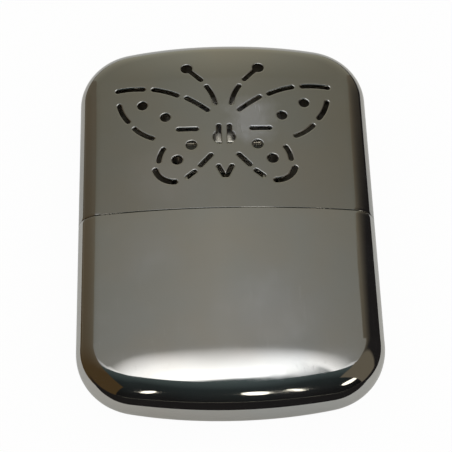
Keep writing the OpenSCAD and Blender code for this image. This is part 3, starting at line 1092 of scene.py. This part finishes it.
# %% Collar
collar_low, collar_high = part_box("tank_collar")
neck_low, neck_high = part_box("filler_neck")
COLLAR_R = collar_high.z - MID_Z - RIM_BAND / 2 - CROWN_RISE
COLLAR_WALL = 0.4 * MM
COLLAR_ROUND = 1.6 * MM
SOLDER_GAP = 0.03 * MM
NECK_W = 24 * MM
NECK_T = 8 * MM
COLLAR_CELL = 1.6 * MM
COLLAR_STRAIGHT_ROWS = 6
COLLAR_ROUND_ROWS = 8


def choose_points(piece, chosen):
    """Selects just these points and the edges between them, for the next edit in vertex mode."""
    mesh = piece.data
    mesh.polygons.foreach_set("select", np.zeros(len(mesh.polygons), bool))
    mesh.vertices.foreach_set("select", chosen)
    ends = read_all(mesh.edges, "vertices", 2, int)
    mesh.edges.foreach_set("select", chosen[ends].all(axis=1))
    mesh.update()


def press_collar(box):
    u, s, w = points_of(box).T
    turn = np.radians(90) * np.clip(s - 1, 0, 1)
    straight_top = collar_high.y - COLLAR_ROUND
    y = collar_low.y + np.minimum(s, 1) * (straight_top - collar_low.y) + COLLAR_ROUND * np.sin(turn)
    radius = COLLAR_R - COLLAR_ROUND * (1 - np.cos(turn))
    share = (y - collar_low.y) / (CORNER_Y - collar_low.y)
    put_points(box, pressed(np.column_stack([u, share, w]), radius, collar_low.y))


def racetrack_outline(width, thick, count=24):
    """The outline of a slot shape, round at both ends, as points across and up."""
    reach = (width - thick) / 2
    outline = []
    for side in (1, -1):
        for i in range(count + 1):
            angle = math.radians(-90 + 180 * i / count)
            outline.append((side * (reach + thick / 2 * math.cos(angle)), side * thick / 2 * math.sin(angle)))
    return outline


def add_prism(name, outline, low, high, axis="Y", across=0.0, up=0.0):
    """A prism with this outline, from low to high along Y or Z."""
    flat = np.array(outline) + (across, up)
    start = np.full(len(flat), low)
    if axis == "Y":
        points = np.column_stack([flat[:, 0], start, flat[:, 1] + MID_Z])
        return drawn_out(name, points, (0, high - low, 0))
    return drawn_out(name, np.column_stack([flat, start]), (0, 0, high - low))


def finish_piece(piece, finish, angle, body, slot, *nodes):
    piece.data.materials.clear()
    piece.data.materials.append(finish)
    smooth(piece, angle)
    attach(piece, body)
    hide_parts(*nodes)
    print(piece.name, "triangles", triangles(piece))
    return piece


collar_rows = [i / COLLAR_STRAIGHT_ROWS for i in range(1, COLLAR_STRAIGHT_ROWS + 1)]
collar_rows += [1 + i / COLLAR_ROUND_ROWS for i in range(1, COLLAR_ROUND_ROWS)]
collar = cut_box("collar", column_places(COLLAR_CELL), collar_rows, rim_places(RIM_CELLS), open_ends=True)
at_deck = points_of(collar)[:, 1] > 2 - 1e-6
press_collar(collar)
choose_points(collar, at_deck)
edit(collar, "VERT")
bpy.ops.mesh.edge_face_add()
leave()
make_solid_normals(collar)
use_modifier(collar, "SOLIDIFY", thickness=COLLAR_WALL, offset=-1)
hole = racetrack_outline(NECK_W + 2 * SOLDER_GAP, NECK_T + 2 * SOLDER_GAP)
cut_with(collar, add_prism("neck_hole", hole, collar_high.y - 2 * MM, collar_high.y + 2 * MM))
finish_piece(collar, collar_finish, 35, "tank", "collar_nickel", "tank_collar")

# %% [markdown]
# ## The neck, the wick and the burner's sleeve
#
# These three share one slot shape, 24 by 8 mm, with round ends. Each is a strip that is
# rolled round that shape: the strip's long side runs round the slot, and its short side
# follows a profile of heights, widths and thicknesses. A closed profile gives the tube its
# wall, its rolled lip and its fillets in one go.


# %% Helper for pieces rolled round the slot shape
def rolled(name, profile, arc_cells=24, side_cells=1, closed=True):
    """Profile points are height, width and thickness; a closed profile ends where it starts."""
    places = []
    for side in (1, -1):
        places += [(side, math.radians(-90 + 180 * i / arc_cells), 1.0) for i in range(arc_cells + 1)]
        places += [(side, math.radians(90), 1 - 2 * i / side_cells) for i in range(1, side_cells)]
    places.append(places[0])
    profile = list(profile) + ([profile[0]] if closed else [])
    pick_nothing()
    bpy.ops.mesh.primitive_grid_add(x_subdivisions=len(places) - 1, y_subdivisions=len(profile) - 1, size=2)
    strip = named(name)
    flat = points_of(strip)
    column = np.round((flat[:, 0] + 1) / 2 * (len(places) - 1)).astype(int)
    row = np.round((flat[:, 1] + 1) / 2 * (len(profile) - 1)).astype(int)
    side, angle, share = np.array(places)[column].T
    height, width, thick = np.array(profile)[row].T
    reach = (width - thick) / 2 * share
    x = side * (reach + thick / 2 * np.cos(angle))
    z = MID_Z + side * thick / 2 * np.sin(angle)
    put_points(strip, np.column_stack([x, height, z]))
    edit_all(strip)
    bpy.ops.mesh.remove_doubles(threshold=0.002 * MM)
    bpy.ops.mesh.normals_make_consistent(inside=False)
    leave()
    return strip


def fillet(centre_y, size, spare, radius, start, end, count=6):
    """A round in a profile, by two angles: its centre lies at size, with spare added to both."""
    turn = [math.radians(start + (end - start) * i / count) for i in range(count + 1)]
    steps = [(radius * math.sin(a), spare + 2 * radius * math.cos(a)) for a in turn]
    return [(centre_y + up, size[0] + out, size[1] + out) for up, out in steps]


# %% Filler neck
NECK_WALL = 0.5 * MM
FLANGE_W = neck_high.x * 2
FLANGE_T = NECK_T + FLANGE_W - NECK_W
FLANGE_HIGH = 0.4 * MM
FILLET_R = 0.6 * MM
DECK_Y = collar_high.y
NECK = (NECK_W, NECK_T)
FLANGE = (FLANGE_W, FLANGE_T)
lip_r = NECK_WALL / 2
neck_profile = [(neck_low.y, *NECK), (DECK_Y, *NECK), (DECK_Y, *FLANGE)]
neck_profile += fillet(DECK_Y + FLANGE_HIGH / 2, FLANGE, -FLANGE_HIGH, FLANGE_HIGH / 2, 0, 90, 3)
neck_profile += fillet(DECK_Y + FLANGE_HIGH + FILLET_R, NECK, 2 * FILLET_R, FILLET_R, -90, -180)
neck_profile += fillet(neck_high.y - lip_r, NECK, -NECK_WALL, lip_r, 0, 180, 8)
neck_profile.append((neck_low.y, NECK_W - 2 * NECK_WALL, NECK_T - 2 * NECK_WALL))
neck = rolled("neck", neck_profile)
finish_piece(neck, neck_finish, 35, "tank", "neck_nickel", "filler_neck")

# %% Burner's sleeve, with the seat that the cage stands on
sleeve_low, sleeve_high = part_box("burner_sleeve")
SLEEVE_GAP = 0.12 * MM
SLEEVE_WALL = 0.4 * MM
SEAT_Y = sleeve_high.y - SLEEVE_WALL
SEAT = (sleeve_high.x * 2, (sleeve_high.z - MID_Z) * 2)
SEAT_EDGE = 0.15 * MM
INNER = (NECK_W + 2 * SLEEVE_GAP, NECK_T + 2 * SLEEVE_GAP)
OUTER = (INNER[0] + 2 * SLEEVE_WALL, INNER[1] + 2 * SLEEVE_WALL)
SEAT_FILLET = 0.2 * MM
mouth_r = SLEEVE_WALL / 2
sleeve_profile = fillet(sleeve_low.y + mouth_r, INNER, SLEEVE_WALL, mouth_r, -180, 0, 8)
sleeve_profile += fillet(SEAT_Y - SEAT_FILLET, OUTER, 2 * SEAT_FILLET, SEAT_FILLET, 180, 90, 4)
sleeve_profile += fillet(SEAT_Y + SEAT_EDGE, SEAT, -2 * SEAT_EDGE, SEAT_EDGE, -90, 0, 3)
sleeve_profile += fillet(sleeve_high.y - SEAT_EDGE, SEAT, -2 * SEAT_EDGE, SEAT_EDGE, 0, 90, 3)
bore = (NECK_W - 2 * NECK_WALL, NECK_T - 2 * NECK_WALL)
sleeve_profile += [(sleeve_high.y, *bore), (SEAT_Y, *bore), (SEAT_Y, *INNER)]
sleeve = rolled("sleeve", sleeve_profile)
finish_piece(sleeve, burner_finish, 35, "burner", "burner_steel", "burner_sleeve")

# %% [markdown]
# ## The cage
#
# Two trays of thin steel face each other round the catalyst. Each is a flat blank with
# two round corners, drawn to a depth of half the cage with a soft fold round its face,
# and its windows are slots with round ends. The front one is modelled and turned over
# to give the back one.

# %% Cage halves
cage_low, cage_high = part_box("burner_front")
CAGE_CORNER = 3 * MM
CAGE_FOLD = 0.8 * MM
CAGE_WALL = 0.35 * MM
WINDOWS = 5
WINDOW_W = 3 * MM
WINDOW_H = 8.6 * MM
WINDOW_PITCH = WINDOW_W + 1.6 * MM
cage_half_w = cage_high.x
cage_tall = cage_high.y - cage_low.y


def cage_outline(count=10):
    outline = [(-cage_half_w, 0), (cage_half_w, 0)]
    for side, first in ((1, 0), (-1, 90)):
        for i in range(count + 1):
            angle = math.radians(first + 90 * i / count)
            outline.append((side * (cage_half_w - CAGE_CORNER) + CAGE_CORNER * math.cos(angle),
                            cage_tall - CAGE_CORNER + CAGE_CORNER * math.sin(angle)))
    return outline


def cage_half():
    tray = add_prism("cage_front", cage_outline(), MID_Z, cage_high.z, "Z", 0.0, cage_low.y)
    centres = face_centres(tray)
    top = centres[:, 2] > cage_high.z - 0.01 * MM
    change_faces(tray, top, bpy.ops.mesh.bevel, offset=CAGE_FOLD, segments=5, affect="EDGES")
    centres = face_centres(tray)
    change_faces(tray, centres[:, 2] < MID_Z + 0.01 * MM, bpy.ops.mesh.delete, type="FACE")
    make_solid_normals(tray)
    use_modifier(tray, "SOLIDIFY", thickness=CAGE_WALL, offset=-1)
    holes = []
    for i in range(WINDOWS):
        window = [(y, x) for x, y in racetrack_outline(WINDOW_H, WINDOW_W, 12)]
        across = (i - (WINDOWS - 1) / 2) * WINDOW_PITCH
        middle = cage_low.y + cage_tall / 2
        holes.append(add_prism("window", window, MID_Z + 1 * MM, cage_high.z + 1 * MM, "Z", across, middle))
    cut_with(tray, join(holes[0], *holes[1:]))
    return tray


cage_front = cage_half()
cage_back = copy_of(cage_front, "cage_back")
put_points(cage_back, points_of(cage_back) * (1, 1, -1) + (0, 0, 2 * MID_Z))
flip(cage_back)
finish_piece(cage_front, burner_finish, 35, "burner", "burner_steel", "burner_front")
finish_piece(cage_back, burner_finish, 35, "burner", "burner_steel", "burner_back")

# %% [markdown]
# ## The gauzes
#
# Behind each row of windows lies a woven gauze that keeps the wool in. A single wire is a
# thin tube that waves over and under; an array repeats it, and a second set waves the
# other way round.

# %% Woven gauzes
WIRE_D = 0.2 * MM
WEAVE_PITCH = 1.0 * MM
WIRE_SIDES = 6
STEPS_PER_WAVE = 8


def woven_wire(name, start, length, along, flip, base, swing):
    """One wire that waves with the weave's pitch, along X or Y from start."""
    waves = length / (2 * WEAVE_PITCH)
    steps = round(waves * STEPS_PER_WAVE)
    pick_nothing()
    bpy.ops.mesh.primitive_cylinder_add(vertices=WIRE_SIDES, radius=WIRE_D / 2, depth=1)
    wire = named(name)
    edit(wire)
    for i in range(1, steps):
        bpy.ops.mesh.select_all(action="SELECT")
        bpy.ops.mesh.bisect(plane_co=(0, 0, i / steps - 0.5), plane_no=(0, 0, 1))
    leave()
    side, up, share = points_of(wire).T
    run = (share + 0.5) * length
    wave = up + base + swing * flip * np.sin(np.pi * (run - WEAVE_PITCH / 2) / WEAVE_PITCH)
    spots = (start[0] + side, start[1] + run) if along == "Y" else (start[0] + run, start[1] + side)
    put_points(wire, np.column_stack([*spots, wave]))
    return wire


def wire_set(wire, count, along):
    step = (2 * WEAVE_PITCH, 0, 0) if along == "Y" else (0, 2 * WEAVE_PITCH, 0)
    use_modifier(wire, "ARRAY", count=count, use_relative_offset=False, use_constant_offset=True,
                 constant_offset_displace=step)
    return wire


def woven_gauze(name, node):
    low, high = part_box(node)
    base = (low.z + high.z) / 2
    swing = (high.z - low.z - WIRE_D) / 2 * 0.95
    inset = WEAVE_PITCH / 2
    across = int((high.x - low.x) / (2 * WEAVE_PITCH)) * 2 * WEAVE_PITCH
    up = int((high.y - low.y) / (2 * WEAVE_PITCH)) * 2 * WEAVE_PITCH
    x, y = -across / 2, (low.y + high.y - up) / 2
    wires = []
    for flip, step in ((1, 0), (-1, WEAVE_PITCH)):
        wire = woven_wire("warp", (x + inset + step, y), up, "Y", flip, base, swing)
        wires.append(wire_set(wire, round(across / 2 / WEAVE_PITCH), "Y"))
        wire = woven_wire("weft", (x, y + inset + step), across, "X", -flip, base, swing)
        wires.append(wire_set(wire, round(up / 2 / WEAVE_PITCH), "X"))
    join(wires[0], *wires[1:])
    return named(name)


for name, node in (("gauze_front_weave", "gauze_front"), ("gauze_back_weave", "gauze_back")):
    finish_piece(woven_gauze(name, node), gauze_finish, 60, "burner", "gauze_wire", node)

# %% [markdown]
# ## The soft parts
#
# The catalyst is a pad of grey glass wool, the wick is a twist of cotton and the tank is
# stuffed with cotton. They have no sharp form, so each starts as a plain block that is
# rounded, cut fine and then pulled in unevenly. It is only ever pulled inwards, so no
# tuft comes through the metal round it.


# %% Helper for tufts
def pull_in(piece, depth, size, middle):
    """Pulls each point in towards a middle by an uneven amount, up to depth."""
    points = points_of(piece)
    amount = np.array([
        0.5 + 0.5 * noise.noise(Vector(point) / size) + 0.35 * noise.noise(Vector(point) / size * 3.1)
        for point in points
    ])
    way = np.array(middle) - points
    way /= np.maximum(np.linalg.norm(way, axis=1, keepdims=True), 1e-9)
    put_points(piece, points + way * depth * np.clip(amount, 0, 1.3)[:, None])


# %% Catalyst pad
mat_low, mat_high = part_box("catalyst_mat")


def soft_block(name, low, high, edge, cuts):
    pick_nothing()
    bpy.ops.mesh.primitive_cube_add(size=1)
    block = named(name)
    centre = (low + high) / 2
    put_points(block, points_of(block) * np.array(high - low) + np.array(centre))
    edit_all(block, "EDGE")
    bpy.ops.mesh.bevel(offset=edge, segments=4, affect="EDGES")
    leave()
    use_modifier(block, "REMESH", mode="VOXEL", voxel_size=cuts)
    return block


mat = soft_block("catalyst_pad", mat_low, mat_high, 1.6 * MM, 0.35 * MM)
pull_in(mat, 0.7 * MM, 1.3 * MM, (mat_low + mat_high) / 2)
finish_piece(mat, catalyst_finish, 80, "burner", "catalyst", "catalyst_mat")

# %% Wick
wick_low, wick_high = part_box("cotton_wick")
WICK = (2 * wick_high.x, 2 * (wick_high.z - MID_Z))
wick_w, wick_t = WICK
wick_profile = [(wick_low.y, wick_w - wick_t, 0.0)]
wick_profile += fillet(wick_low.y + 1 * MM, WICK, -2 * MM, 1 * MM, -90, 0, 4)
wick_rows = 30
span = wick_high.y - wick_low.y - 3 * MM
wick_profile += [(wick_low.y + 1 * MM + span * i / wick_rows, wick_w, wick_t) for i in range(1, wick_rows)]
wick_profile += fillet(wick_high.y - 2 * MM, WICK, -4 * MM, 2 * MM, 0, 90, 8)
wick_profile += [(wick_high.y, wick_w - wick_t + 2 * MM, 1.2 * MM), (wick_high.y, wick_w - wick_t, 0.0)]
wick = rolled("wick", wick_profile, arc_cells=16, side_cells=20, closed=False)
pull_in(wick, 0.9 * MM, 1.6 * MM, (wick_low + wick_high) / 2)
finish_piece(wick, wick_finish, 80, "tank", "wick", "cotton_wick")


# %% Cotton in the tank
def stuffed(name, node):
    cotton = copy_of(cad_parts[node], name)
    cotton.hide_render = False
    cotton.hide_viewport = False
    edit_all(cotton)
    bpy.ops.mesh.remove_doubles(threshold=0.002 * MM)
    leave()
    use_modifier(cotton, "REMESH", mode="VOXEL", voxel_size=0.9 * MM)
    low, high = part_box(node)
    pull_in(cotton, 0.8 * MM, 4 * MM, (low + high) / 2)
    return cotton


for name, node in (("stuffing_front", "cotton_front"), ("stuffing_back", "cotton_back")):
    stuffing = stuffed(name, node)
    finish_piece(stuffing, cotton_finish, 80, "tank", "cotton", node)

# %% [markdown]
# ## The size, and the view transform
#
# The dressed object's box is set against the imported one's, and how far it grew is printed.
# The dressed object may not be larger than the imported one.

# %% Sizes, and the last line
bpy.context.scene.view_settings.view_transform = "Standard"
made_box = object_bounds()
for old, new in zip(cad_box, made_box):
    print("grown in mm:", [round((b - a) / MM, 3) for a, b in zip(old, new)])
